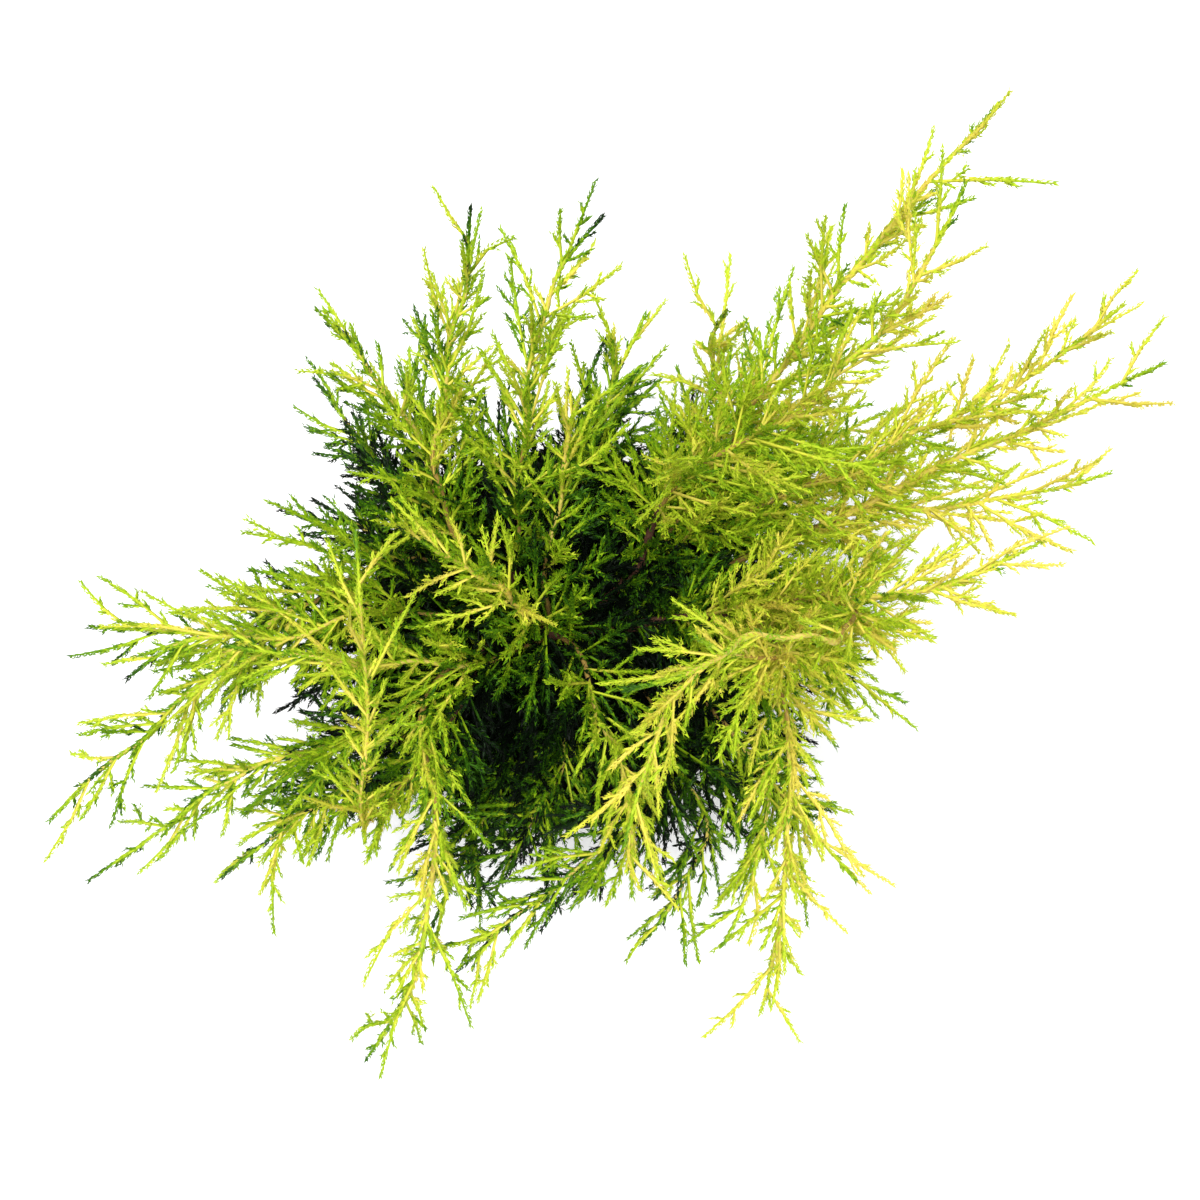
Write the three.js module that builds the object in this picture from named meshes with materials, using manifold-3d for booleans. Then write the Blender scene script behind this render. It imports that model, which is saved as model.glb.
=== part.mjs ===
// A potted old gold pfitzer juniper: a low, spreading, golden conifer in a round nursery pot.
// Millimetres, +Z up. The origin is the middle of the pot's flat underside, on the ground.
// +Y is the back of the plant and +X its right, as seen from above with the back at the top.

import * as THREE from "three";
import { mergeVertices } from "three/addons/utils/BufferGeometryUtils.js";
import Module from "manifold-3d";

const wasm = await Module();
wasm.setup();

// Driving dimensions of the pot and its filling
const POT_HEIGHT = 215;
const POT_RIM_RADIUS = 118;
const POT_NECK_RADIUS = 112;
const POT_BASE_RADIUS = 88;
const POT_WALL = 2.4;
const POT_SEGMENTS = 24;
const RIM_BAND_HEIGHT = 24;
const RIM_STEP = 2; // height of the slope under the rim band
const RIM_ROUND = 1.2;
const FOOT_HEIGHT = 12;
const FOOT_STEP = 3;
const DRAIN_COUNT = 6;
const DRAIN_WIDTH = 14;
const DRAIN_HEIGHT = 9;
const COMPOST_BELOW_RIM = 24;
const COMPOST_MOUND = 5;
const COMPOST_LEVEL = POT_HEIGHT - COMPOST_BELOW_RIM + COMPOST_MOUND;
const SEAT_GAP = 0.3; // between solids that touch on the real plant

// Driving dimensions of the wood. Heights of the plant are above the compost.
const TRUNK_HEIGHT = 100;
const TRUNK_LEAN = 9; // how far its top stands from its foot
const TRUNK_LEAN_HEADING = 120;
const TRUNK_FLARE_RADIUS = 15;
const TRUNK_FLARE_HEIGHT = 12;
const TRUNK_FOOT_RADIUS = 9.5;
const TRUNK_TOP_RADIUS = 6;
const TRUNK_SIDES = 9;
const TRUNK_STEPS = 7;
const BOUGH_SIDES = 5;
const BOUGH_STEP = 30; // length of bough between its rings
const BOUGH_TIP = 0.55; // share of a bough's foot radius that is left where its foliage begins

// Driving dimensions of the foliage
const LEADER_SIDES = 5;
const LEADER_STEP = 60;
const LEADER_END = 0.68; // share of its path where a leader's stem gives way to its end twig
const LEADER_OVERLAP = 0.03; // share of its path that stem and end twig have in common
const LEADER_TIP_RADIUS = 1.8;
const NEAR_FOOT_RADIUS = 2.4;
const TWIG_EVERY = 32; // along a leader
const LAST_TWIG = 0.84; // share of the leader beyond which none leaves it
const TWIG_SHORTEST = 0.8; // share of its full length that chance can leave a twig
const TWIG_VARIES = 0.35;
const TWIG_ANGLE = 42; // from its leader, where it starts
const TWIG_TAPER = 0.6; // share of their length that twigs lose towards the leader's tip
const TWIG_ROLL = 137.5; // from one twig to the next, round the leader
const ROLL_VARIES = 30;
const TURNS = [0, 50, -50, 100, -100, 180]; // what a twig turns by, round the leader, to find room
const TWIG_LIFT = 0.1; // how strongly a twig's tip turns up to the light
const TWIG_HALF_WIDTH = 1.1;
const TWIG_THICKNESS = 2;
const TWIG_FORWARD = 0.5; // how strongly it turns to run along its leader
const TWIG_ROOM = 1.5; // half the width that it needs free
const TWIG_ROOM_AT = [0.2, 0.4, 0.7, 1]; // shares of its length where it is asked for
const SHORTER = [1, 0.75, 0.5]; // what a twig or a spray tries before it is left out
const LEAST_TWIG = 22;
const SPRAY_EVERY = 16; // along each side of a twig
const SPRAY_FOOT = 7; // bare length of twig below its first spray
const SPRAY_REACH = 14; // out from its twig
const SPRAY_SWEEP = 28; // forward along its twig
const SPRAY_SIZE = 1.15; // of a twig's first spray, to those measures
const SPRAY_TAPER = 0.5; // what sprays lose of it towards the twig's tip
const SPRAY_ROOM = 1; // half the width that a spray's tip needs free
const TWIG_END = 14; // bare length of twig beyond its last sprays' feet

// Room that foliage keeps to: clear of the pot and above the ground
const ROOM_BESIDE_POT = POT_RIM_RADIUS + 8;
const LEAST_HEIGHT_OVER_POT = POT_HEIGHT + 5 - COMPOST_LEVEL;
const LEAST_HEIGHT_BESIDE_POT = -50;
const LINE_POINTS = 12; // of the line that stands for a limb where room is looked for
const SMOOTHING = 0.12; // largest shift when the joined surface is cleared of needless points

const UP = new THREE.Vector3(0, 0, 1);

// Finishes
const bark = new THREE.MeshStandardMaterial({ color: 0x6b4a38, roughness: 0.9, metalness: 0 });
const goldFoliage = new THREE.MeshStandardMaterial({ color: 0xb5c42c, roughness: 0.7, metalness: 0 });
const greenFoliage = new THREE.MeshStandardMaterial({ color: 0x5c8a22, roughness: 0.75, metalness: 0 });
const potPlastic = new THREE.MeshStandardMaterial({ color: 0x1c1d1e, roughness: 0.5, metalness: 0 });
const compost = new THREE.MeshStandardMaterial({ color: 0x2e231b, roughness: 1, metalness: 0 });

// A closed geometry as a solid that can be joined and cut.
function solidOf(geometry) {
  const bare = new THREE.BufferGeometry();
  bare.setAttribute("position", geometry.getAttribute("position"));
  bare.setIndex(geometry.index);
  const merged = mergeVertices(bare, 1e-4);
  const triangles = [];
  for (let i = 0; i < merged.index.count; i += 3) {
    const [a, b, c] = [0, 1, 2].map((corner) => merged.index.getX(i + corner));
    if (a !== b && b !== c && c !== a) triangles.push(a, b, c);
  }
  return new wasm.Manifold(
    new wasm.Mesh({
      numProp: 3,
      vertProperties: new Float32Array(merged.attributes.position.array),
      triVerts: new Uint32Array(triangles),
    }),
  );
}

// The largest body of a solid as a named mesh. Loose scraps are dropped.
function meshOf(name, solid, material) {
  const [body] = solid.decompose().sort((a, b) => b.volume() - a.volume());
  const { vertProperties, triVerts } = body.getMesh();
  const geometry = new THREE.BufferGeometry();
  geometry.setAttribute("position", new THREE.BufferAttribute(new Float32Array(vertProperties), 3));
  geometry.setIndex(new THREE.BufferAttribute(new Uint32Array(triVerts), 1));
  geometry.computeVertexNormals();
  const mesh = new THREE.Mesh(geometry, material);
  mesh.name = name;
  return mesh;
}

// A cylinder bent along a curve, whose radius follows how far along it is. It may run on past both ends.
function bentLimb(curve, radiusAt, sides, steps, past = 0) {
  const limb = new THREE.CylinderGeometry(1, 1, 1, sides, steps);
  const frames = curve.computeFrenetFrames(steps, false);
  const position = limb.attributes.position;
  for (let i = 0; i < position.count; i++) {
    const ring = Math.round((position.getY(i) + 0.5) * steps);
    const radius = radiusAt(ring / steps);
    const place = curve.getPointAt(ring / steps);
    if (ring === 0) place.addScaledVector(frames.tangents[ring], -past);
    if (ring === steps) place.addScaledVector(frames.tangents[ring], past);
    place.addScaledVector(frames.binormals[ring], position.getX(i) * radius);
    place.addScaledVector(frames.normals[ring], position.getZ(i) * radius);
    position.setXYZ(i, place.x, place.y, place.z);
  }
  return solidOf(limb);
}

function taper(foot, tip) {
  return (along) => foot + (tip - foot) * along;
}

// The stretch of a curve between two shares of its length.
class Stretch extends THREE.Curve {
  constructor(whole, from, to) {
    super();
    Object.assign(this, { whole, from, to });
  }
  getPoint(along, place = new THREE.Vector3()) {
    return place.copy(this.whole.getPointAt(this.from + (this.to - this.from) * along));
  }
}

// The unit vector of a heading, from +X towards +Y, and a climb above level, in degrees.
function direction(heading, climb) {
  const h = THREE.MathUtils.degToRad(heading);
  const c = THREE.MathUtils.degToRad(climb);
  return new THREE.Vector3(Math.cos(c) * Math.cos(h), Math.cos(c) * Math.sin(h), Math.sin(c));
}

// A point of the plant, by how far out it stands from the pot's axis, on which heading and how high.
function placeAt({ reach, heading, height }) {
  const place = direction(heading, 0).multiplyScalar(reach);
  place.z = height;
  return place;
}

// A direction that leans off an axis by an angle, rolled round the axis from its level right side.
function leaningOff(axis, roll, angle) {
  const side = new THREE.Vector3().crossVectors(axis, UP).normalize();
  const above = new THREE.Vector3().crossVectors(side, axis);
  const r = THREE.MathUtils.degToRad(roll);
  const a = THREE.MathUtils.degToRad(angle);
  return axis
    .clone()
    .multiplyScalar(Math.cos(a))
    .addScaledVector(side, Math.cos(r) * Math.sin(a))
    .addScaledVector(above, Math.sin(r) * Math.sin(a));
}

// Numbers from 0 to 1 that come out the same for the same seed.
function seededRandom(seed) {
  let state = seed * 7919;
  return () => {
    state = (state * 48271) % 2147483647;
    return state / 2147483647;
  };
}

function distanceToLine(points, place) {
  const stretch = new THREE.Line3();
  const nearest = new THREE.Vector3();
  return Math.min(
    ...points.slice(1).map((end, i) => {
      stretch.set(points[i], end);
      return stretch.closestPointToPoint(place, true, nearest).distanceTo(place);
    }),
  );
}

// The pot: a tapered shell with a deep rim band, a stepped foot, and slots where its wall meets its floor
function makePot() {
  const bandFoot = POT_HEIGHT - RIM_BAND_HEIGHT;
  const footRadius = POT_BASE_RADIUS + FOOT_STEP;
  const outline = [
    [0, 0],
    [POT_BASE_RADIUS, 0],
    [POT_BASE_RADIUS, FOOT_HEIGHT],
    [footRadius, FOOT_HEIGHT + FOOT_STEP],
    [POT_NECK_RADIUS, bandFoot],
    [POT_RIM_RADIUS - RIM_ROUND, bandFoot + RIM_STEP],
    [POT_RIM_RADIUS, POT_HEIGHT - RIM_ROUND],
    [POT_RIM_RADIUS - RIM_ROUND, POT_HEIGHT],
    [POT_RIM_RADIUS - POT_WALL, POT_HEIGHT],
    [POT_RIM_RADIUS - RIM_ROUND - POT_WALL, bandFoot + RIM_STEP + POT_WALL],
    [POT_NECK_RADIUS - POT_WALL, bandFoot],
    [footRadius - POT_WALL, FOOT_HEIGHT + FOOT_STEP],
    [POT_BASE_RADIUS - POT_WALL, FOOT_HEIGHT],
    [POT_BASE_RADIUS - POT_WALL, POT_WALL],
    [0, POT_WALL],
  ].map(([radius, height]) => new THREE.Vector2(radius, height));
  let pot = solidOf(new THREE.LatheGeometry(outline, POT_SEGMENTS).rotateX(Math.PI / 2));
  for (let i = 0; i < DRAIN_COUNT; i++) {
    const slot = new THREE.BoxGeometry(POT_WALL * 3, DRAIN_WIDTH, DRAIN_HEIGHT);
    slot.translate(POT_BASE_RADIUS - POT_WALL / 2, 0, POT_WALL + DRAIN_HEIGHT / 2);
    slot.rotateZ(((i + 0.5) / DRAIN_COUNT) * Math.PI * 2);
    pot = pot.subtract(solidOf(slot));
  }
  return pot;
}

// The compost: it fills the pot to below its rim and rises to a small level crown under the trunk
function makeCompost() {
  const inset = POT_WALL + SEAT_GAP;
  const outline = [
    [0, inset],
    [POT_BASE_RADIUS - inset, inset],
    [POT_BASE_RADIUS - inset, FOOT_HEIGHT],
    [POT_BASE_RADIUS + FOOT_STEP - inset, FOOT_HEIGHT + FOOT_STEP],
    [POT_NECK_RADIUS - inset, COMPOST_LEVEL - COMPOST_MOUND],
    [POT_NECK_RADIUS / 2, COMPOST_LEVEL - COMPOST_MOUND / 4],
    [TRUNK_FLARE_RADIUS * 1.5, COMPOST_LEVEL],
    [0, COMPOST_LEVEL],
  ].map(([radius, height]) => new THREE.Vector2(radius, height));
  return solidOf(new THREE.LatheGeometry(outline, POT_SEGMENTS).rotateX(Math.PI / 2));
}

// The trunk: a short leaning stem, flared where it enters the compost and cut flat there
const trunkCurve = new THREE.QuadraticBezierCurve3(
  new THREE.Vector3(0, 0, SEAT_GAP),
  new THREE.Vector3(0, 0, TRUNK_HEIGHT / 2),
  placeAt({ reach: TRUNK_LEAN, heading: TRUNK_LEAN_HEADING, height: TRUNK_HEIGHT }),
);
const trunk = {
  path: trunkCurve,
  curve: trunkCurve,
  foot: TRUNK_FOOT_RADIUS,
  radiusAt(along) {
    const flare = Math.max(0, 1 - (along * TRUNK_HEIGHT) / TRUNK_FLARE_HEIGHT);
    const stem = taper(TRUNK_FOOT_RADIUS, TRUNK_TOP_RADIUS)(along);
    return stem + (TRUNK_FLARE_RADIUS - TRUNK_FOOT_RADIUS) * flare;
  },
  sides: TRUNK_SIDES,
  steps: TRUNK_STEPS,
};

// The boughs. Each leaves the trunk or an earlier bough at a share of its length. Its path runs to its bend,
// where it heads toward and climbs as stated, and on to its tip. It is bare for the first share of that path,
// and the rest is the leader of its foliage, whose twigs are up to spread long. Lengths are in millimetres
// and angles in degrees, and reach is the distance from the pot's axis.
const BOUGHS = [
  {
    name: "back_right", on: "trunk", at: 0.76, foot: 4.6, bare: 0.22, spread: 87, toward: 59, climb: 30,
    bend: { reach: 119, heading: 47, height: 145 }, tip: { reach: 361, heading: 50.6, height: 272 },
  },
  {
    name: "right_back", on: "trunk", at: 0.46, foot: 4.4, bare: 0.24, spread: 52, toward: 25, climb: 28,
    bend: { reach: 116, heading: 24, height: 110 }, tip: { reach: 354, heading: 24.9, height: 240 },
  },
  {
    name: "right_low", on: "right_back", at: 0.1, foot: 3, bare: 0.16, spread: 98, toward: -15, climb: 18,
    bend: { reach: 142, heading: 38, height: 104 }, tip: { reach: 322, heading: 17.2, height: 172 },
  },
  {
    name: "right_top", on: "trunk", at: 0.92, foot: 4.4, bare: 0.46, spread: 38, toward: -170, climb: 70,
    bend: { reach: 158, heading: 5, height: 244 }, tip: { reach: 40, heading: -26, height: 374 },
  },
  {
    name: "right_crest", on: "back_right", at: 0.19, foot: 3, bare: 0.16, spread: 97, toward: 22, climb: 34,
    bend: { reach: 145, heading: 48, height: 200 }, tip: { reach: 314, heading: 48.4, height: 296 },
  },
  {
    name: "right_side", on: "right_top", at: 0.1, foot: 3, bare: 0.22, spread: 84, toward: 6, climb: 15,
    bend: { reach: 193, heading: 9, height: 192 }, tip: { reach: 270, heading: 12.1, height: 206 },
  },
  {
    name: "front_right", on: "trunk", at: 0.36, foot: 4, bare: 0.26, spread: 90, toward: -46, climb: 12,
    bend: { reach: 108, heading: -24, height: 90 }, tip: { reach: 201, heading: -61.4, height: 104 },
  },
  {
    name: "right_sweep", on: "trunk", at: 0.58, foot: 4, bare: 0.2, spread: 70, toward: -89, climb: 2,
    bend: { reach: 143, heading: -22, height: 134 }, tip: { reach: 256, heading: -61.6, height: 52 },
  },
  {
    name: "front", on: "trunk", at: 0.22, foot: 3.8, bare: 0.24, spread: 75, toward: -48, climb: 12,
    bend: { reach: 94, heading: -42, height: 70 }, tip: { reach: 189, heading: -74.6, height: 56 },
  },
  {
    name: "front_sweep", on: "front_right", at: 0.1, foot: 3, bare: 0.14, spread: 86, toward: -140, climb: 4,
    bend: { reach: 110, heading: -63, height: 108 }, tip: { reach: 207, heading: -107.1, height: 60 },
  },
  {
    name: "front_left", on: "trunk", at: 0.7, foot: 4.4, bare: 0.26, spread: 55, toward: -78, climb: -5,
    bend: { reach: 99, heading: -138, height: 160 }, tip: { reach: 272, heading: -114.7, height: 84 },
  },
  {
    name: "left_front", on: "trunk", at: 0.42, foot: 4.2, bare: 0.22, spread: 70, toward: -164, climb: 12,
    bend: { reach: 121, heading: -156, height: 112 }, tip: { reach: 289, heading: -153.3, height: 98 },
  },
  {
    name: "left", on: "trunk", at: 0.5, foot: 4.4, bare: 0.22, spread: 88, toward: -144, climb: 16,
    bend: { reach: 135, heading: 167, height: 134 }, tip: { reach: 304, heading: -160.7, height: 146 },
  },
  {
    name: "left_back", on: "left", at: 0.1, foot: 3, bare: 0.16, spread: 86, toward: -178, climb: 14,
    bend: { reach: 151, heading: 176, height: 168 }, tip: { reach: 236, heading: -175.4, height: 186 },
  },
  {
    name: "left_middle", on: "trunk", at: 0.25, foot: 3.6, bare: 0.24, spread: 88, toward: 176, climb: 14,
    bend: { reach: 152, heading: 179, height: 108 }, tip: { reach: 264, heading: 178, height: 148 },
  },
  {
    name: "back_left", on: "trunk", at: 0.66, foot: 4.2, bare: 0.26, spread: 104, toward: 104, climb: 24,
    bend: { reach: 138, heading: 126, height: 140 }, tip: { reach: 216, heading: 125.4, height: 184 },
  },
  {
    name: "back", on: "trunk", at: 0.84, foot: 4, bare: 0.26, spread: 79, toward: 75, climb: 26,
    bend: { reach: 142, heading: 117, height: 172 }, tip: { reach: 236, heading: 100.8, height: 232 },
  },
  {
    name: "back_over", on: "back", at: 0.12, foot: 2.8, bare: 0.16, spread: 85, toward: 88, climb: 20,
    bend: { reach: 137, heading: 97, height: 178 }, tip: { reach: 232, heading: 83.6, height: 215 },
  },
  {
    name: "back_side", on: "back_right", at: 0.06, foot: 3, bare: 0.16, spread: 71, toward: 101, climb: 20,
    bend: { reach: 173, heading: 58, height: 134 }, tip: { reach: 204, heading: 62.7, height: 198 },
  },
  {
    name: "right_fan", on: "back_right", at: 0.1, foot: 3, bare: 0.14, spread: 104, toward: 20, climb: 20,
    bend: { reach: 194, heading: 31, height: 160 }, tip: { reach: 348, heading: 31, height: 250 },
  },
  {
    name: "over_right", on: "right_top", at: 0.26, foot: 2.8, bare: 0.2, spread: 67, toward: 177, climb: 35,
    bend: { reach: 106, heading: -3, height: 228 }, tip: { reach: 111, heading: -70.3, height: 246 },
  },
  {
    name: "over_left", on: "front_left", at: 0.14, foot: 2.9, bare: 0.2, spread: 44, toward: 81, climb: 38,
    bend: { reach: 131, heading: -143, height: 200 }, tip: { reach: 119, heading: 150.2, height: 250 },
  },
];

// The inner and the low foliage. Its leaders meet the trunk itself, which they leave toward a heading and at
// a climb.
const NEAR_FOLIAGE = [
  { name: "inner_front", at: 0.84, toward: -32, climb: 58, tip: { reach: 144, heading: -73, height: 190 } },
  { name: "inner_left", at: 0.88, toward: -138, climb: 62, tip: { reach: 179, heading: 180, height: 200 } },
  { name: "inner_back", at: 0.9, toward: 98, climb: 45, tip: { reach: 164, heading: 81, height: 206 } },
  { name: "inner_top", at: 1, toward: 109, climb: 84, tip: { reach: 101, heading: 142, height: 250 } },
  { name: "low_right", at: 0.12, toward: 24, climb: 32, tip: { reach: 210, heading: -10, height: 70 } },
  { name: "low_back", at: 0.3, toward: 91, climb: 42, tip: { reach: 198, heading: 75, height: 104 } },
  { name: "low_back_left", at: 0.16, toward: 143, climb: 34, tip: { reach: 216, heading: 133, height: 62 } },
  { name: "low_back_right", at: 0.2, toward: 51, climb: 36, tip: { reach: 238, heading: 35, height: 76 } },
  { name: "low_left_back", at: 0.34, toward: 148, climb: 40, tip: { reach: 167, heading: 150, height: 88 } },
  { name: "low_left", at: 0.2, toward: -149, climb: 26, tip: { reach: 244, heading: -145, height: 76 } },
  { name: "low_front", at: 0.14, toward: -113, climb: 30, tip: { reach: 193, heading: -114, height: 44 } },
  { name: "low_front_middle", at: 0.18, toward: -65, climb: 34, tip: { reach: 154, heading: -107, height: 66 } },
  { name: "low_front_side", at: 0.12, toward: -22, climb: 30, tip: { reach: 231, heading: -39, height: 48 } },
];
const NEAR_SPREAD = 76;
const GREEN_FOLIAGE = /^(inner|low|front)/;

// A smooth path from a start to a tip, which passes its bend on the bend's own line
function boughPath(start, { bend, toward, climb, tip }) {
  const middle = placeAt(bend);
  const end = placeAt(tip);
  const line = direction(toward, climb);
  const before = middle.clone().addScaledVector(line, -start.distanceTo(middle) / 2);
  const after = middle.clone().addScaledVector(line, middle.distanceTo(end) / 2);
  const path = new THREE.CurvePath();
  path.add(new THREE.QuadraticBezierCurve3(start, before, middle));
  path.add(new THREE.QuadraticBezierCurve3(middle, after, end));
  return path;
}

const limbs = new Map([["trunk", trunk]]);
const masses = [];

for (const bough of BOUGHS) {
  const path = boughPath(limbs.get(bough.on).path.getPointAt(bough.at), bough);
  const length = path.getLength();
  const curve = new Stretch(path, 0, bough.bare);
  const bare = { path, curve, foot: bough.foot, radiusAt: taper(bough.foot, bough.foot * BOUGH_TIP) };
  const steps = Math.max(2, Math.round((length * bough.bare) / BOUGH_STEP));
  limbs.set(bough.name, { ...bare, sides: BOUGH_SIDES, steps });
  const leader = new Stretch(path, bough.bare + SEAT_GAP / length, 1);
  masses.push({ name: bough.name, curve: leader, foot: bough.foot * BOUGH_TIP, spread: bough.spread });
}

for (const { name, at, toward, climb, tip } of NEAR_FOLIAGE) {
  const root = trunk.path.getPointAt(at);
  const end = placeAt(tip);
  const follow = root.clone().addScaledVector(direction(toward, climb), root.distanceTo(end) / 2);
  const curve = new THREE.QuadraticBezierCurve3(root, follow, end);
  masses.push({ name, curve, foot: NEAR_FOOT_RADIUS, spread: NEAR_SPREAD, onTrunk: true });
}

for (const limb of [...limbs.values(), ...masses]) limb.line = limb.curve.getSpacedPoints(LINE_POINTS);
masses.forEach((mass, i) => (mass.seed = i + 1));

function limbSolid(limb, grown) {
  return bentLimb(limb.curve, (along) => limb.radiusAt(along) + grown, limb.sides, limb.steps, grown);
}

// Foliage keeps to its own space: nearer to its own leader than to any other, clear of limbs and of the pot.
function hasRoom(mass, place, halfWidth) {
  const beside = Math.hypot(place.x, place.y) > ROOM_BESIDE_POT;
  if (place.z - halfWidth < (beside ? LEAST_HEIGHT_BESIDE_POT : LEAST_HEIGHT_OVER_POT)) return false;
  const limit = distanceToLine(mass.line, place) + 2 * halfWidth + SEAT_GAP;
  return (
    masses.every((other) => other === mass || distanceToLine(other.line, place) > limit) &&
    [...limbs.values()].every((limb) => distanceToLine(limb.line, place) > limb.foot + halfWidth + SEAT_GAP)
  );
}

// A twig and its sprays: a three-sided stem, flat below and ridged above, whose two edges are drawn out
// into a tooth for each spray. It is laid out straight, along +Y, and then bent along the twig's curve.
function makeTwig(mass, curve, face) {
  const length = curve.getLength();
  const bend = (x, y, z) => {
    const along = THREE.MathUtils.clamp(y / length, 0, 1);
    const tangent = curve.getTangentAt(along);
    const above = face.clone().addScaledVector(tangent, -face.dot(tangent)).normalize();
    return curve
      .getPointAt(along)
      .addScaledVector(new THREE.Vector3().crossVectors(tangent, above), x)
      .addScaledVector(tangent, y - along * length)
      .addScaledVector(above, z - TWIG_THICKNESS / 2);
  };
  const pairs = Math.max(1, Math.floor((length - SPRAY_FOOT - TWIG_END) / SPRAY_EVERY));
  const footOf = (pair) => SPRAY_FOOT + pair * SPRAY_EVERY;
  const ridge = [0, ...Array.from({ length: pairs }, (_, pair) => footOf(pair + 0.5))];

  // One side's edge, as corners that each know which point of the ridge they fall away from
  const edge = (side) => {
    const corners = [{ x: side * TWIG_HALF_WIDTH, y: 0, from: 0 }];
    for (let pair = 0; pair < pairs; pair++) {
      corners.push({ x: side * TWIG_HALF_WIDTH, y: footOf(pair), from: pair + 1 });
      const size = SPRAY_SIZE - (SPRAY_TAPER * footOf(pair)) / length;
      const point = (share) => ({
        x: side * (TWIG_HALF_WIDTH + SPRAY_REACH * size * share),
        y: footOf(pair) + Math.max(SPRAY_EVERY, SPRAY_SWEEP * size * share),
        from: pair + 1,
      });
      const roomAt = ({ x, y }, halfWidth) => hasRoom(mass, bend(x, y, 0), halfWidth);
      const share = SHORTER.find((s) => roomAt(point(s), SPRAY_ROOM) && roomAt(point(s / 2), TWIG_THICKNESS));
      if (share) corners.push(point(share));
    }
    return [...corners, { x: side * TWIG_HALF_WIDTH, y: footOf(pairs), from: pairs }];
  };
  const outline = [...edge(1), { x: 0, y: length, from: pairs }, ...edge(-1).reverse()];
  const flat = outline.map(({ x, y }) => new THREE.Vector2(x, y));
  const underside = THREE.ShapeUtils.triangulateShape(flat, []).map(([i, j, k]) => [k, j, i]);
  const roof = outline.flatMap(({ from }, i) => {
    const next = (i + 1) % outline.length;
    const [here, there] = [outline.length + from, outline.length + outline[next].from];
    return here === there ? [[i, next, here]] : [[i, next, here], [next, there, here]];
  });
  const below = outline.map(({ x, y }) => bend(x, y, 0));
  const above = ridge.map((y) => bend(0, y, TWIG_THICKNESS));
  const geometry = new THREE.BufferGeometry().setFromPoints([...below, ...above]);
  geometry.setIndex([...underside, ...roof].flat());
  return solidOf(geometry);
}

// Twigs leave the leader all round it, lean forward along it, and are shorter towards its tip. Each turns
// round the leader to where it has most room, is shortened to fit, or is left out.
function twigCurvesOf(mass) {
  const random = seededRandom(mass.seed);
  const curves = [];
  const whole = mass.curve.getLength();
  let roll = random() * 360;
  for (let from = TWIG_EVERY / 2; from < whole * LAST_TWIG; from += TWIG_EVERY) {
    const along = from / whole;
    const full = mass.spread * (1 - TWIG_TAPER * along) * (TWIG_SHORTEST + TWIG_VARIES * random());
    roll += TWIG_ROLL + ROLL_VARIES * (random() - 0.5);
    const start = mass.curve.getPointAt(along);
    const axis = mass.curve.getTangentAt(along);
    const grow = (turn, share) => {
      const half = (full * share) / 2;
      const aim = leaningOff(axis, roll + turn, TWIG_ANGLE);
      const later = aim.clone().addScaledVector(axis, TWIG_FORWARD).addScaledVector(UP, TWIG_LIFT);
      const middle = start.clone().addScaledVector(aim, half);
      const tip = middle.clone().addScaledVector(later.normalize(), half);
      return new THREE.QuadraticBezierCurve3(start, middle, tip);
    };
    const fits = (curve) => TWIG_ROOM_AT.every((part) => hasRoom(mass, curve.getPointAt(part), TWIG_ROOM));
    const twig = SHORTER.flatMap((share) => TURNS.map((turn) => grow(turn, share))).find(fits);
    if (twig && twig.getLength() > LEAST_TWIG) curves.push(twig);
  }
  return curves;
}

// A mass of foliage: a leader with twigs all round it, and an end twig that carries it on to its tip.
function makeFoliage(mass) {
  const stem = new Stretch(mass.curve, 0, LEADER_END);
  const steps = Math.max(2, Math.round(stem.getLength() / LEADER_STEP));
  const solids = [bentLimb(stem, taper(mass.foot, LEADER_TIP_RADIUS), LEADER_SIDES, steps)];
  const along = mass.curve.getTangentAt(0.5);
  for (const twig of twigCurvesOf(mass)) {
    solids.push(makeTwig(mass, twig, along.clone().cross(twig.getTangentAt(0)).normalize()));
  }
  const end = new Stretch(mass.curve, LEADER_END - LEADER_OVERLAP, 1);
  solids.push(makeTwig(mass, end, leaningOff(end.getTangentAt(0.5), 90, 90)));
  let foliage = wasm.Manifold.union(solids);
  if (mass.onTrunk) foliage = foliage.subtract(limbSolid(trunk, SEAT_GAP));
  return foliage.simplify(SMOOTHING);
}

const juniper = new THREE.Group();
const plant = new THREE.Group();
plant.position.z = COMPOST_LEVEL;
juniper.add(meshOf("pot", makePot(), potPlastic), meshOf("compost", makeCompost(), compost), plant);

plant.add(meshOf("trunk", limbSolid(trunk, 0), bark));
for (const { name, on } of BOUGHS) {
  const solid = limbSolid(limbs.get(name), 0).subtract(limbSolid(limbs.get(on), SEAT_GAP));
  plant.add(meshOf("bough_" + name, solid, bark));
}
for (const mass of masses) {
  const finish = GREEN_FOLIAGE.test(mass.name) ? greenFoliage : goldFoliage;
  plant.add(meshOf("foliage_" + mass.name, makeFoliage(mass), finish));
}

export default juniper;
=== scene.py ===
import math

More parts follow.
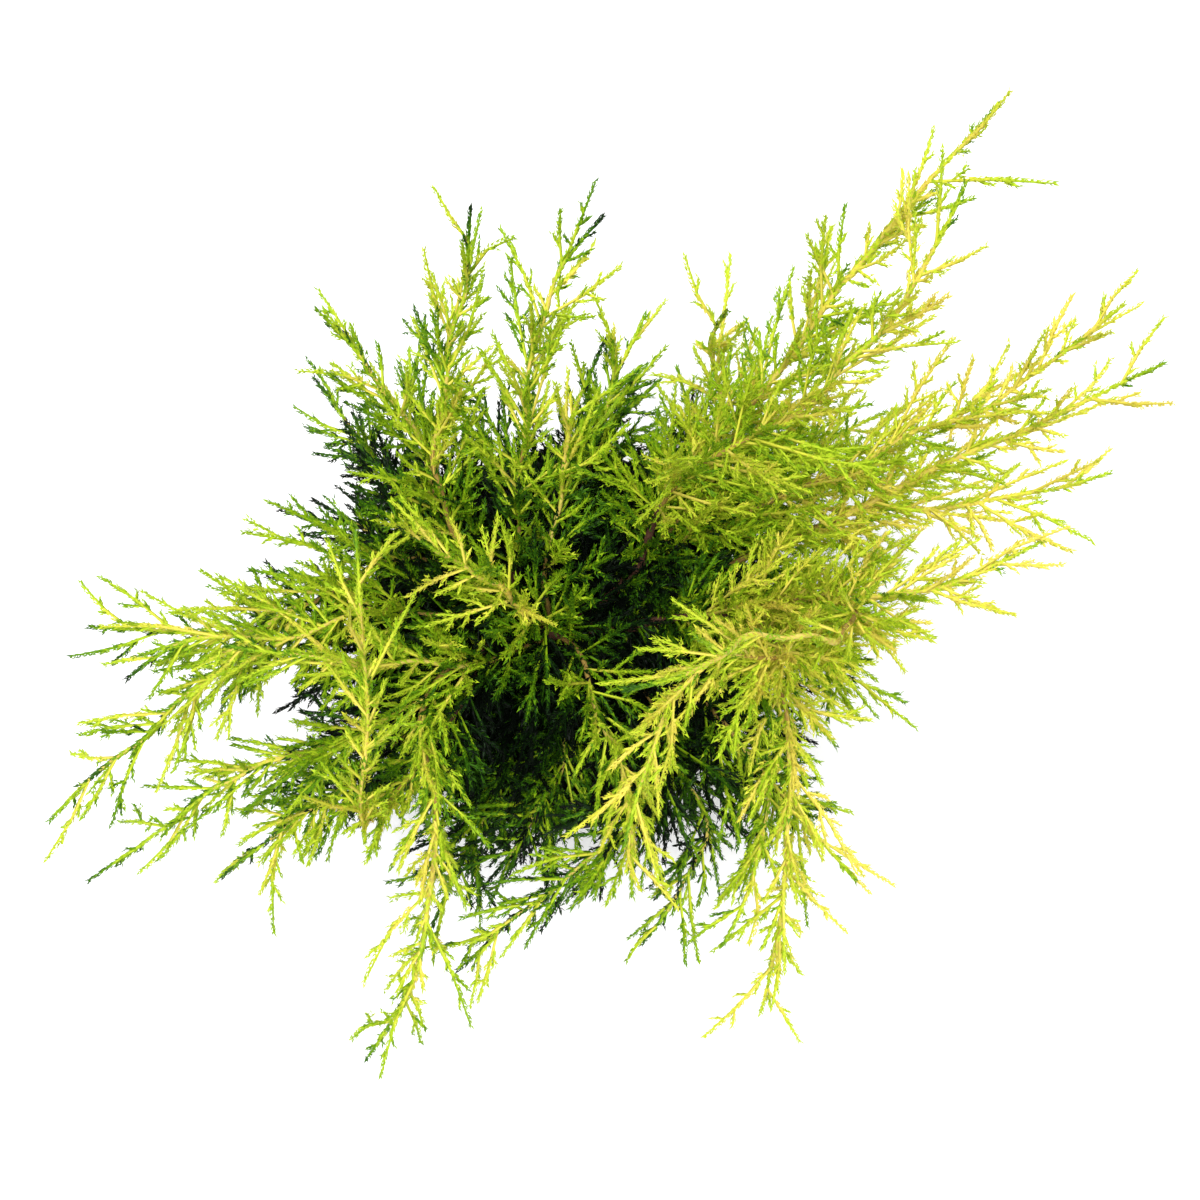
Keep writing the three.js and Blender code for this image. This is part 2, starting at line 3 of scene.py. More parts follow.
import bpy
import numpy as np
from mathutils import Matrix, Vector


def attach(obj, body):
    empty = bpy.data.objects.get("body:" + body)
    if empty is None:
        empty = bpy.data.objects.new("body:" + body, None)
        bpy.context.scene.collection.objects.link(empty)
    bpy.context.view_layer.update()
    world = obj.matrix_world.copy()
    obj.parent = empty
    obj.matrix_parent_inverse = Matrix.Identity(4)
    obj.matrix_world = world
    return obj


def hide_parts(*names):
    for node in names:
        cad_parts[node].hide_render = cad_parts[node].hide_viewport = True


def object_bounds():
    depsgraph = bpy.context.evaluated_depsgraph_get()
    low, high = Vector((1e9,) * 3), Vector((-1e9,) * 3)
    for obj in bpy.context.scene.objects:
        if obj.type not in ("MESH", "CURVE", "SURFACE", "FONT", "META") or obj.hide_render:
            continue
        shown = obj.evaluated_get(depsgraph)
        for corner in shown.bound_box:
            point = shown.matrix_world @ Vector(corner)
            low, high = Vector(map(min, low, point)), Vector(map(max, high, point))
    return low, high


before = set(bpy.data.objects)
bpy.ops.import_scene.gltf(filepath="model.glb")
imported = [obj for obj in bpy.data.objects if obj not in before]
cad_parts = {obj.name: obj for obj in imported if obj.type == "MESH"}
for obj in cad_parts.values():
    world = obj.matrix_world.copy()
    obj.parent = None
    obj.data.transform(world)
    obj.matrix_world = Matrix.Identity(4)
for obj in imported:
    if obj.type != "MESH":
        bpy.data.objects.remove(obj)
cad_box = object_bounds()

# The pot. A plain black nursery pot, moulded in polypropylene: a thin tapered shell with a deep rim band
# and a rolled lip, a stepped foot to stand on, and drain slots where its wall meets its floor.
POT_HEIGHT = 215
POT_WALL = 2.4
POT_SIDES = 128
POT_OUTLINE = [  # radius, height and rounding of each corner
    (0, 0, 0),
    (88, 0, 1.5),
    (88, 12, 1.5),
    (91, 15, 2),
    (112, 191, 1),
    (116.8, 193, 1),
    (118, POT_HEIGHT, 1.2),
    (115.6, POT_HEIGHT, 1.1),
    (114.4, 196, 2),
    (109.6, 191, 2),
    (88.6, 15, 2),
    (85.6, 12, 2),
    (85.6, POT_WALL, 1.5),
    (0, POT_WALL, 0),
]
DRAIN_SLOTS = 6
DRAIN_SLOT = (3 * POT_WALL, 14, 9)  # through the wall, along it and upward
DRAIN_RING = 86.8
DRAIN_ROUNDING = 3


def eased(corners, steps=5):
    """An outline of radius and height whose corners are rounded by the size that each one states."""
    outline = []
    places = [np.array(corner[:2], float) for corner in corners]
    for i, (place, size) in enumerate(zip(places, [corner[2] for corner in corners])):
        if size == 0:
            outline.append(place)
            continue
        before, after = places[i - 1] - place, places[i + 1] - place
        start = place + before / np.linalg.norm(before) * size
        end = place + after / np.linalg.norm(after) * size
        for t in np.linspace(0, 1, steps):
            outline.append((1 - t) ** 2 * start + 2 * t * (1 - t) * place + t**2 * end)
    return np.array(outline)


def turned(outline, sides):
    """The corners and faces of an outline that is turned round the upright axis."""
    angle = np.arange(sides) / sides * 2 * math.pi
    ring = np.stack([np.cos(angle), np.sin(angle)], 1)
    inner = outline[1:-1]
    walls = np.concatenate([np.c_[ring * r, np.full(sides, z)] for r, z in inner])
    corners = np.concatenate([walls, [[0, 0, outline[0][1]], [0, 0, outline[-1][1]]]])
    here = np.arange(sides)
    there = (here + 1) % sides
    faces = []
    for k in range(len(inner) - 1):
        low, high = k * sides, (k + 1) * sides
        faces += np.stack([low + here, low + there, high + there, high + here], 1).tolist()
    top = (len(inner) - 1) * sides
    faces += np.stack([there, here, np.full(sides, len(walls))], 1).tolist()
    faces += np.stack([top + here, top + there, np.full(sides, len(walls) + 1)], 1).tolist()
    return corners, faces


def piece(name, corners, faces, finish, smooth=True):
    """A mesh object from corners in millimetres."""
    mesh = bpy.data.meshes.new(name)
    mesh.from_pydata((np.asarray(corners) / 1000).tolist(), [], faces)
    mesh.polygons.foreach_set("use_smooth", [smooth] * len(mesh.polygons))
    mesh.materials.append(finish)
    made = bpy.data.objects.new(name, mesh)
    bpy.context.collection.objects.link(made)
    return made


class Wire:
    """A value that runs from node to node in a finish. Arithmetic on it adds the nodes that work it out."""

    def __init__(self, tree, socket=None):
        self.tree = tree
        self.socket = socket

    def node(self, kind, settings=(), inputs=(), output=0):
        made = self.tree.nodes.new(kind)
        for name, value in dict(settings).items():
            setattr(made, name, value)
        for name, value in dict(inputs).items():
            if isinstance(value, Wire):
                self.tree.links.new(value.socket, made.inputs[name])
            else:
                made.inputs[name].default_value = value
        return Wire(self.tree, made.outputs[output])

    def math(self, operation, first, second):
        return self.node("ShaderNodeMath", {"operation": operation}, {0: first, 1: second})

    def __add__(self, other):
        return self.math("ADD", self, other)

    def __mul__(self, other):
        return self.math("MULTIPLY", self, other)

    def __sub__(self, other):
        return self.math("SUBTRACT", self, other)

    def __rsub__(self, other):
        return self.math("SUBTRACT", other, self)

    __radd__ = __add__
    __rmul__ = __mul__

    def blend(self, low, high):
        """The colour between two others, by this value."""
        return self.node("ShaderNodeMix", {"data_type": "RGBA"}, {0: self, 6: low, 7: high}, 2)


def srgb(red, green, blue):
    """A colour from its values on a screen, 0 to 255."""
    def linear(value):
        value /= 255
        return value / 12.92 if value <= 0.04045 else ((value + 0.055) / 1.055) ** 2.4

    return (linear(red), linear(green), linear(blue), 1)


def finish_of(name, **inputs):
    """A new finish, and the wire end that its nodes are made from. Fixed values go on its own sockets."""
    made = bpy.data.materials.new(name)
    made.use_nodes = True
    made.diffuse_color = inputs.get("base", (0.5, 0.5, 0.5, 1))
    shader = made.node_tree.nodes["Principled BSDF"]
    shader.inputs["Base Color"].default_value = made.diffuse_color
    shader.inputs["Roughness"].default_value = inputs.get("roughness", 0.6)
    shader.inputs["Specular IOR Level"].default_value = inputs.get("specular", 0.4)
    return made, shader, Wire(made.node_tree)


def feed(shader, **wires):
    """Leads wires into the sockets of a shader."""
    for name, wire in wires.items():
        wire.tree.links.new(wire.socket, shader.inputs[name.replace("_", " ")])


pot_plastic, shader, start = finish_of("pot_plastic", base=srgb(26, 27, 28), roughness=0.42)
place = start.node("ShaderNodeTexCoord", output=3)
scuffs = start.node(
    "ShaderNodeTexNoise", {}, {"Vector": place, "Scale": 38, "Detail": 5, "Roughness": 0.6}
)
grain = start.node("ShaderNodeTexNoise", {}, {"Vector": place, "Scale": 900, "Detail": 2})
feed(
    shader,
    Base_Color=scuffs.blend(srgb(20, 21, 22), srgb(38, 38, 39)),
    Roughness=scuffs * 0.3 + 0.3,
    Normal=start.node("ShaderNodeBump", {}, {"Strength": 0.12, "Distance": 0.0004, "Height": grain}),
)

corners, faces = turned(eased(POT_OUTLINE), POT_SIDES)
pot = piece("nursery_pot", corners, faces, pot_plastic)
cutters = []
for i in range(DRAIN_SLOTS):
    bpy.ops.mesh.primitive_cube_add(size=0.001)
    cutter = bpy.context.object
    cutters.append(cutter)
    cutter.scale = DRAIN_SLOT
    turn = (i + 0.5) / DRAIN_SLOTS * 2 * math.pi
    place = [DRAIN_RING * math.cos(turn), DRAIN_RING * math.sin(turn), POT_WALL + DRAIN_SLOT[2] / 2]
    cutter.location = np.array(place) / 1000
    cutter.rotation_euler = (0, 0, turn)
    bevel = cutter.modifiers.new("rounded", "BEVEL")
    bevel.width = DRAIN_ROUNDING / 1000
    bevel.segments = 3
    cut = pot.modifiers.new("slot", "BOOLEAN")
    cut.object = cutter
    cut.solver = "EXACT"
bpy.context.view_layer.update()
cut_pot = bpy.data.meshes.new_from_object(pot.evaluated_get(bpy.context.evaluated_depsgraph_get()))
pot.modifiers.clear()
pot.data = cut_pot
for cutter in cutters:
    bpy.data.objects.remove(cutter)
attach(pot, "root")
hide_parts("pot")

# The compost. Dark, coarse potting bark that fills the pot to below its rim and is heaped a little round
# the trunk. Its top is a lumpy bed with loose chips of bark lying on it.
COMPOST_LEVEL = 196
COMPOST_RADIUS = 109
BED_PROFILE = [(22, 0), (56, -1.2), (COMPOST_RADIUS, -5)]  # distance from the axis, height from the level
BED_RINGS = 64
BED_SIDES = 220
BED_LUMP = 0.8
CHIP_COUNT = 2400
chance = np.random.default_rng(7)


def bed_height(radius):
    """How high the compost stands at a distance from the pot's axis."""
    away, heights = zip(*BED_PROFILE)
    return np.interp(radius, away, [COMPOST_LEVEL + height for height in heights])


def lumps(x, y, seed, size, count=14):
    """A gentle random swell over the plane, mostly between -1 and 1."""
    made = np.random.default_rng(seed)
    angle = made.uniform(0, 2 * math.pi, count)
    pitch = size * made.uniform(0.6, 1.6, count) / (2 * math.pi)
    phase = made.uniform(0, 2 * math.pi, count)
    waves = [np.sin((x * math.cos(a) + y * math.sin(a)) / p + f) for a, p, f in zip(angle, pitch, phase)]
    return sum(waves) / math.sqrt(count)


compost_finish, shader, start = finish_of(
    "bark_compost", base=srgb(34, 25, 19), roughness=0.95, specular=0.2
)
place = start.node("ShaderNodeTexCoord", output=3)
patches = start.node(
    "ShaderNodeTexNoise", {}, {"Vector": place, "Scale": 160, "Detail": 6, "Roughness": 0.7}
)
feed(
    shader,
    Base_Color=(patches * 1.8 - 0.4).blend(srgb(13, 10, 8), srgb(44, 33, 25)),
    Normal=start.node("ShaderNodeBump", {}, {"Strength": 0.6, "Distance": 0.001, "Height": patches}),
)

rings = np.linspace(2, COMPOST_RADIUS, BED_RINGS)
angle = np.arange(BED_SIDES) / BED_SIDES * 2 * math.pi
radius, turn = np.meshgrid(rings, angle, indexing="ij")
x, y = radius * np.cos(turn), radius * np.sin(turn)
z = bed_height(radius) - BED_LUMP + BED_LUMP * lumps(x, y, 1, 9) + BED_LUMP / 2 * lumps(x, y, 2, 3)
corners = np.stack([x, y, z], 2).reshape(-1, 3)
index = np.arange(len(corners)).reshape(x.shape)
right = np.roll(index, -1, axis=1)
faces = np.stack([index[:-1], index[1:], right[1:], right[:-1]], 2).reshape(-1, 4).tolist()
bed = piece("compost_bed", corners, faces, compost_finish)
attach(bed, "root")
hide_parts("compost")

reach = np.sqrt(chance.uniform(0.01, 0.97, CHIP_COUNT)) * COMPOST_RADIUS
turn = chance.uniform(0, 2 * math.pi, CHIP_COUNT)
middle = np.stack([reach * np.cos(turn), reach * np.sin(turn), bed_height(reach) + 0.3], 1)
long = chance.gamma(3, 1.6, CHIP_COUNT) + 2
wide = chance.uniform(1.5, 5, CHIP_COUNT)
thick = chance.uniform(0.6, 1.8, CHIP_COUNT)
sizes = np.stack([long, wide, thick], 1) / 2
spin = chance.uniform(0, 2 * math.pi, CHIP_COUNT)
lean = chance.normal(0, 0.25, (CHIP_COUNT, 2))
ahead = np.stack([np.cos(spin), np.sin(spin), lean[:, 0]], 1)
aside = np.stack([-np.sin(spin), np.cos(spin), lean[:, 1]], 1)
above = np.cross(ahead, aside)
cube = np.array([[a, b, c] for a in (-1, 1) for b in (-1, 1) for c in (-1, 1)], float)
worn = cube[None] * sizes[:, None] * chance.uniform(0.55, 1.1, (CHIP_COUNT, 8, 3))
corners = middle[:, None] + sum(
    worn[..., k : k + 1] * way[:, None] for k, way in enumerate((ahead, aside, above))
)
sides = np.array([[0, 1, 3, 2], [4, 6, 7, 5], [0, 4, 5, 1], [2, 3, 7, 6], [0, 2, 6, 4], [1, 5, 7, 3]])
faces = (sides[None] + 8 * np.arange(CHIP_COUNT)[:, None, None]).reshape(-1, 4).tolist()
chips = piece("bark_chips", corners.reshape(-1, 3), faces, compost_finish, smooth=False)
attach(chips, "root")

# The trunk and boughs. A short leaning trunk with a flared foot and the woody limbs that leave it: living
# wood under stringy, reddish brown bark that peels in long strips. Each bough grows out of what carries
# it, and has a slight collar there.
TRUNK_HEIGHT = 100
TRUNK_LEAN = 9
TRUNK_LEAN_HEADING = 120
TRUNK_FLARE_RADIUS = 15
TRUNK_FLARE_HEIGHT = 12
TRUNK_FOOT_RADIUS = 9.5
TRUNK_TOP_RADIUS = 6
FLARE_CURVE = 1.6
BOUGH_TIP = 0.55
COLLAR = 1.2
COLLAR_SHARE = 0.16
STRIP_RELIEF = 0.045
SEAT_GAP = 0.3
LINE_STEPS = 300
UP = np.array([0, 0, 1.0])

# Name, carried by, at this share of it, foot radius, bare share, twig length, heading and climb at the
# bend, then reach, heading and height of the bend and of the tip
BOUGHS = [
    ("back_right", "trunk", 0.76, 4.6, 0.22, 87, (59, 30), (119, 47, 145), (361, 50.6, 272)),
    ("right_back", "trunk", 0.46, 4.4, 0.24, 52, (25, 28), (116, 24, 110), (354, 24.9, 240)),
    ("right_low", "right_back", 0.1, 3, 0.16, 98, (-15, 18), (142, 38, 104), (322, 17.2, 172)),
    ("right_top", "trunk", 0.92, 4.4, 0.46, 38, (-170, 70), (158, 5, 244), (40, -26, 374)),
    ("right_crest", "back_right", 0.19, 3, 0.16, 97, (22, 34), (145, 48, 200), (314, 48.4, 296)),
    ("right_side", "right_top", 0.1, 3, 0.22, 84, (6, 15), (193, 9, 192), (270, 12.1, 206)),
    ("front_right", "trunk", 0.36, 4, 0.26, 90, (-46, 12), (108, -24, 90), (201, -61.4, 104)),
    ("right_sweep", "trunk", 0.58, 4, 0.2, 70, (-89, 2), (143, -22, 134), (256, -61.6, 52)),
    ("front", "trunk", 0.22, 3.8, 0.24, 75, (-48, 12), (94, -42, 70), (189, -74.6, 56)),
    ("front_sweep", "front_right", 0.1, 3, 0.14, 86, (-140, 4), (110, -63, 108), (207, -107.1, 60)),
    ("front_left", "trunk", 0.7, 4.4, 0.26, 55, (-78, -5), (99, -138, 160), (272, -114.7, 84)),
    ("left_front", "trunk", 0.42, 4.2, 0.22, 70, (-164, 12), (121, -156, 112), (289, -153.3, 98)),
    ("left", "trunk", 0.5, 4.4, 0.22, 88, (-144, 16), (135, 167, 134), (304, -160.7, 146)),
    ("left_back", "left", 0.1, 3, 0.16, 86, (-178, 14), (151, 176, 168), (236, -175.4, 186)),
    ("left_middle", "trunk", 0.25, 3.6, 0.24, 88, (176, 14), (152, 179, 108), (264, 178, 148)),
    ("back_left", "trunk", 0.66, 4.2, 0.26, 104, (104, 24), (138, 126, 140), (216, 125.4, 184)),
    ("back", "trunk", 0.84, 4, 0.26, 79, (75, 26), (142, 117, 172), (236, 100.8, 232)),
    ("back_over", "back", 0.12, 2.8, 0.16, 85, (88, 20), (137, 97, 178), (232, 83.6, 215)),
    ("back_side", "back_right", 0.06, 3, 0.16, 71, (101, 20), (173, 58, 134), (204, 62.7, 198)),
    ("right_fan", "back_right", 0.1, 3, 0.14, 104, (20, 20), (194, 31, 160), (348, 31, 250)),
    ("over_right", "right_top", 0.26, 2.8, 0.2, 67, (177, 35), (106, -3, 228), (111, -70.3, 246)),
    ("over_left", "front_left", 0.14, 2.9, 0.2, 44, (81, 38), (131, -143, 200), (119, 150.2, 250)),
]


def direction(heading, climb):
    """The unit vector of a heading, from +X towards +Y, and a climb above level, in degrees."""
    h, c = math.radians(heading), math.radians(climb)
    return np.array([math.cos(c) * math.cos(h), math.cos(c) * math.sin(h), math.sin(c)])


def place_at(reach, heading, height):
    """A point of the plant. Heights are above the compost."""
    return direction(heading, 0) * reach + UP * height


def unit(vectors):
    """Vectors brought to length 1."""
    return vectors / np.linalg.norm(vectors, axis=-1, keepdims=True)


def bezier(first, second, third, t):
    """Points at t along the curve that three points bend."""
    t = np.asarray(t)[..., None]
    return (1 - t) ** 2 * first + 2 * t * (1 - t) * second + t**2 * third


class Line:
    """A line in space. Its points are asked for by their share of its length."""

    def __init__(self, points):
        self.points = np.asarray(points)
        steps = np.linalg.norm(np.diff(self.points, axis=0), axis=1)
        self.marks = np.r_[0, np.cumsum(steps)]
        self.length = self.marks[-1]

    def at(self, share):
        along = np.asarray(share) * self.length
        return np.stack([np.interp(along, self.marks, self.points[:, k]) for k in range(3)], -1)

    def heading(self, share):
        share = np.clip(np.asarray(share, float), 0.002, 0.998)
        return unit(self.at(share + 0.002) - self.at(share - 0.002))

    def part(self, start, end):
        return Line(self.at(np.linspace(start, end, 160)))


def bough_path(root, bend, aim, tip):
    """A smooth path from a root to a tip, which passes its bend on the bend's own line."""
    middle, end, way = place_at(*bend), place_at(*tip), direction(*aim)
    before = middle - way * np.linalg.norm(middle - root) / 2
    after = middle + way * np.linalg.norm(end - middle) / 2
    t = np.linspace(0, 1, 240)
    return Line(np.concatenate([bezier(root, before, middle, t), bezier(middle, after, end, t[1:])]))


def tubes(lines, radii, sides, step, relief=None):
    """The corners and faces of round limbs along lines. radii gives each limb's radius at a share of it."""
    all_corners, all_faces, count = [], [], 0
    for line, radius_at in zip(lines, radii):
        share = np.linspace(0, 1, max(3, int(line.length / step)))
        middle, tangent = line.at(share), line.heading(share)
        side = unit(np.cross(tangent[0], UP if abs(tangent[0][2]) < 0.9 else np.array([1.0, 0, 0])))
        across = [side]
        for way in tangent[1:]:
            side = unit(side - way * (side @ way))
            across.append(side)
        across = np.array(across)
        upward = np.cross(tangent, across)
        angle = np.arange(sides) / sides * 2 * math.pi
        radius = np.repeat(radius_at(share)[:, None], sides, 1)
        if relief:
            radius = radius + relief(angle[None], (share * line.length)[:, None], radius)
        spoke = across[:, None] * np.cos(angle)[None, :, None]
        spoke = spoke + upward[:, None] * np.sin(angle)[None, :, None]
        all_corners.append((middle[:, None] + spoke * radius[..., None]).reshape(-1, 3))
        index = count + np.arange(len(share) * sides).reshape(len(share), sides)
        right = np.roll(index, -1, axis=1)
        all_faces.append(np.stack([index[:-1], right[:-1], right[1:], index[1:]], 2).reshape(-1, 4))
        tip = count + len(share) * sides
        all_corners.append(middle[-1:] + tangent[-1:] * radius_at(share[-1:])[0])
        last = index[-1]
        all_faces.append(np.stack([last, np.roll(last, -1), np.full(sides, tip), np.full(sides, tip)], 1))
        count = tip + 1
    faces = [face if face[2] != face[3] else face[:3] for face in np.concatenate(all_faces).tolist()]
    return np.concatenate(all_corners) + UP * COMPOST_LEVEL, faces


def strips(angle, along, radius):
    """The relief of bark that peels in long strips."""
    depth = np.sin(7 * angle + along / 9)
    depth = depth + 0.7 * np.sin(13 * angle - along / 14 + 2) * np.sin(along / 6 + 3 * angle)
    depth = depth + 0.5 * np.sin(19 * angle + along / 23 + 1) + 0.4 * np.sin(along / 2.3 + 5 * angle)
    return depth * STRIP_RELIEF * radius


def trunk_radius(share):
    """The trunk's radius at a share of its height, with the flare of its foot."""
    even = np.interp(share, [0, 1], [TRUNK_FOOT_RADIUS, TRUNK_TOP_RADIUS])
    flare = np.clip(1 - share * TRUNK_HEIGHT / TRUNK_FLARE_HEIGHT, 0, 1) ** FLARE_CURVE
    return even + (TRUNK_FLARE_RADIUS - TRUNK_FOOT_RADIUS) * flare


def bough_radius(foot, share):
    """A bough's radius at a share of its bare length, with the collar at its foot."""
    return foot * (1 - (1 - BOUGH_TIP) * share) + COLLAR * np.exp(-((share / COLLAR_SHARE) ** 2))


trunk_top = place_at(TRUNK_LEAN, TRUNK_LEAN_HEADING, TRUNK_HEIGHT)
trunk_marks = np.linspace(0, 1, LINE_STEPS)
limbs = {"trunk": Line(bezier(UP * SEAT_GAP, UP * TRUNK_HEIGHT / 2, trunk_top, trunk_marks))}
limb_feet = {"trunk": TRUNK_FOOT_RADIUS}
paths = dict(limbs)
lines, radii = [limbs["trunk"]], [trunk_radius]
for name, on, at, foot, bare, _, aim, bend, tip in BOUGHS:
    paths[name] = bough_path(paths[on].at(at), bend, aim, tip)
    limbs[name] = paths[name].part(0, bare)
    limb_feet[name] = foot
    lines.append(limbs[name])
    radii.append(lambda share, foot=foot: bough_radius(foot, share))

bark_finish, shader, start = finish_of(
    "stringy_bark", base=srgb(112, 78, 58), roughness=0.88, specular=0.25
)
place = start.node("ShaderNodeTexCoord", output=3)
fibres = start.node(
    "ShaderNodeTexNoise", {}, {"Vector": place, "Scale": 420, "Detail": 5, "Roughness": 0.65}
)
weather = start.node("ShaderNodeTexNoise", {}, {"Vector": place, "Scale": 55, "Detail": 3})
feed(
    shader,
    Base_Color=(fibres * 1.6 - 0.3).blend(
        weather.blend(srgb(46, 29, 23), srgb(72, 46, 35)), srgb(128, 88, 68)
    ),
    Normal=start.node("ShaderNodeBump", {}, {"Strength": 0.5, "Distance": 0.0006, "Height": fibres}),
)
corners, faces = tubes(lines, radii, sides=20, step=1.6, relief=strips)
bark = piece("bark_of_trunk_and_boughs", corners, faces, bark_finish)
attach(bark, "root")
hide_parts("trunk", *["bough_" + bough[0] for bough in BOUGHS])

# The leaders. Each mass of foliage has one woody leader, which carries on from its bough or leaves the
# trunk. Its older wood is brown; this year's is amber, thin, and a little wavy from bud to bud.
LEADER_TIP_RADIUS = 0.9
LEADER_CURVE = 0.8
STEM_SHARE = 0.8  # of a leader's radius, which counts its leaves too
NEAR_FOOT_RADIUS = 2.4
NEAR_SPREAD = 76
NEAR_FOLIAGE = [  # name, share of the trunk, heading and climb, then reach, heading and height of the tip
    ("inner_front", 0.84, (-32, 58), (144, -73, 190)),
    ("inner_left", 0.88, (-138, 62), (179, 180, 200)),
    ("inner_back", 0.9, (98, 45), (164, 81, 206)),
    ("inner_top", 1, (109, 84), (101, 142, 250)),
    ("low_right", 0.12, (24, 32), (210, -10, 70)),
    ("low_back", 0.3, (91, 42), (198, 75, 104)),
    ("low_back_left", 0.16, (143, 34), (216, 133, 62)),
    ("low_back_right", 0.2, (51, 36), (238, 35, 76)),
    ("low_left_back", 0.34, (148, 40), (167, 150, 88)),
    ("low_left", 0.2, (-149, 26), (244, -145, 76)),
    ("low_front", 0.14, (-113, 30), (193, -114, 44)),
    ("low_front_middle", 0.18, (-65, 34), (154, -107, 66)),
    ("low_front_side", 0.12, (-22, 30), (231, -39, 48)),
]
OLD_WOOD = 0.35
YOUNG_WOOD = 0.86
WAVES = [(130, 2.4), (72, 1.2), (41, 0.5)]  # pitch and height

masses = []
for name, _, _, foot, bare, spread, _, _, _ in BOUGHS:
    path = paths[name]
    masses.append((name, path.part(bare + SEAT_GAP / path.length, 1), foot * BOUGH_TIP, spread))
for name, at, aim, tip in NEAR_FOLIAGE:
    root, end = paths["trunk"].at(at), place_at(*tip)
    follow = root + direction(*aim) * np.linalg.norm(end - root) / 2
    line = Line(bezier(root, follow, end, np.linspace(0, 1, LINE_STEPS)))
    masses.append((name, line, NEAR_FOOT_RADIUS, NEAR_SPREAD))


def waves(line, share, seed):
    """How far a leader strays from its even line, at shares of its length."""
    made = np.random.default_rng(seed)
    share = np.asarray(share)[..., None]
    stray = 0
    for pitch, height in WAVES:
        size = made.normal(0, height, 3)
        stray = stray + size * np.sin(share * line.length / pitch * 2 * math.pi + made.uniform(0, 6))
    return stray * np.sin(share * math.pi)


def leader_radius(foot, share):
    """A leader's radius, leaves and all, at a share of its length."""
    return foot + (LEADER_TIP_RADIUS - foot) * np.asarray(share) ** LEADER_CURVE


leaders = []
for own, (_, line, _, _) in enumerate(masses):
    share = np.linspace(0, 1, LINE_STEPS)
    leaders.append(Line(line.at(share) + waves(line, share, own)))
stem_finishes = []
for name, dark, pale in (
    ("old_stem", srgb(132, 100, 50), srgb(184, 154, 76)),
    ("young_stem", srgb(200, 170, 72), srgb(226, 210, 110)),
):
    finish, shader, start = finish_of(name, base=pale, roughness=0.7, specular=0.2)
    place = start.node("ShaderNodeTexCoord", output=3)
    rind = start.node(
        "ShaderNodeTexNoise", {}, {"Vector": place, "Scale": 260, "Detail": 4, "Roughness": 0.6}
    )
    feed(
        shader,
        Base_Color=(rind * 1.6 - 0.3).blend(dark, pale),
        Normal=start.node("ShaderNodeBump", {}, {"Strength": 0.4, "Distance": 0.0004, "Height": rind}),
    )
    stem_finishes.append(finish)
foliage_nodes = ["foliage_" + mass[0] for mass in masses]
for name, start_at, end_at, finish in (
    ("leader_stems_old", 0, OLD_WOOD, stem_finishes[0]),
    ("leader_stems_young", OLD_WOOD, YOUNG_WOOD, stem_finishes[1]),
):
    radii = [
        lambda s, foot=mass[2], a=start_at, b=end_at: leader_radius(foot, a + (b - a) * s) * STEM_SHARE
        for mass in masses
    ]
    lines = [line.part(start_at, end_at) for line in leaders]
    corners, faces = tubes(lines, radii, sides=8, step=2.5)
    stems = piece(name, corners, faces, finish)
    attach(stems, "root")
    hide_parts(*foliage_nodes)

# The twigs. Living shoots that leave each leader all round and lean forward along it. The main ones follow
# the source's rule and its measures of room; finer ones, long slim whips and, on the bare boughs inside the
# crown, short shaded ones grow in between. Each takes the first of its ways that has room.
LINE_POINTS = 12
ROOM_BESIDE_POT = 126
LEAST_HEIGHT_OVER_POT = 24
LEAST_HEIGHT_BESIDE_POT = -50
TWIG_EVERY = 32
LAST_TWIG = 0.84
TWIG_ANGLE = 42
TWIG_TAPER = 0.6
TWIG_ROLL = 137.5
TWIG_LIFT = 0.1
TWIG_FORWARD = 0.5
TURNS = [0, 50, -50, 100, -100, 180]
SHORTER = [1, 0.75, 0.5]
ROLL_SPREAD = 30
STRAY = 0.25
LEAST_MAIN_TWIG = 22
NEAR_SHOOT = "right_top"  # the tall slender one that comes nearest to the camera
FINE_FROM = 0.01
FINE_TO = 0.8
FINE_TO_ON_NEAR_SHOOT = 0.2
FINE_SPREAD = 80
FINE_FULL = 1.22
FINE_TAPER = 1.05
FINE_EVERY = 3.8
FINE_SIZES = (0.35, 1)
FINE_ANGLES = (32, 60)
LOW_ANGLES = (32, 78)
LOW_FULLER = 1.25
LOW_EVERY = 1.9
WHIPS_FROM = 0.3
WHIPS_TO = 0.93
WHIP_EVERY = 19
WHIP_LENGTH = 74
WHIP_ANGLES = (20, 48)
INNER_FROM = 8
INNER_EVERY = 1.7
INNER_LENGTHS = (22, 62)
INNER_ANGLE = 58
BARE_TRUNK = 0.5
LEAFY_FROM = 0.12
LEAFY_STEP = 26
PAST_BOX = 5

box_low, box_high = np.array(cad_box) * 1000 - UP * COMPOST_LEVEL
marks = np.linspace(0, 1, LINE_POINTS + 1)
leader_marks = np.array([mass[1].at(marks) for mass in masses])
limb_marks = np.array([line.at(marks) for line in limbs.values()])
limb_room = np.array(list(limb_feet.values()))


def distances(places, lines):
    """How far each place is from each line."""
    start, along = lines[:, :-1], np.diff(lines, axis=1)
    away = places[:, None, None] - start[None]
    share = np.clip((away * along).sum(-1) / (along**2).sum(-1), 0, 1)
    return np.linalg.norm(away - along * share[..., None], axis=-1).min(-1)


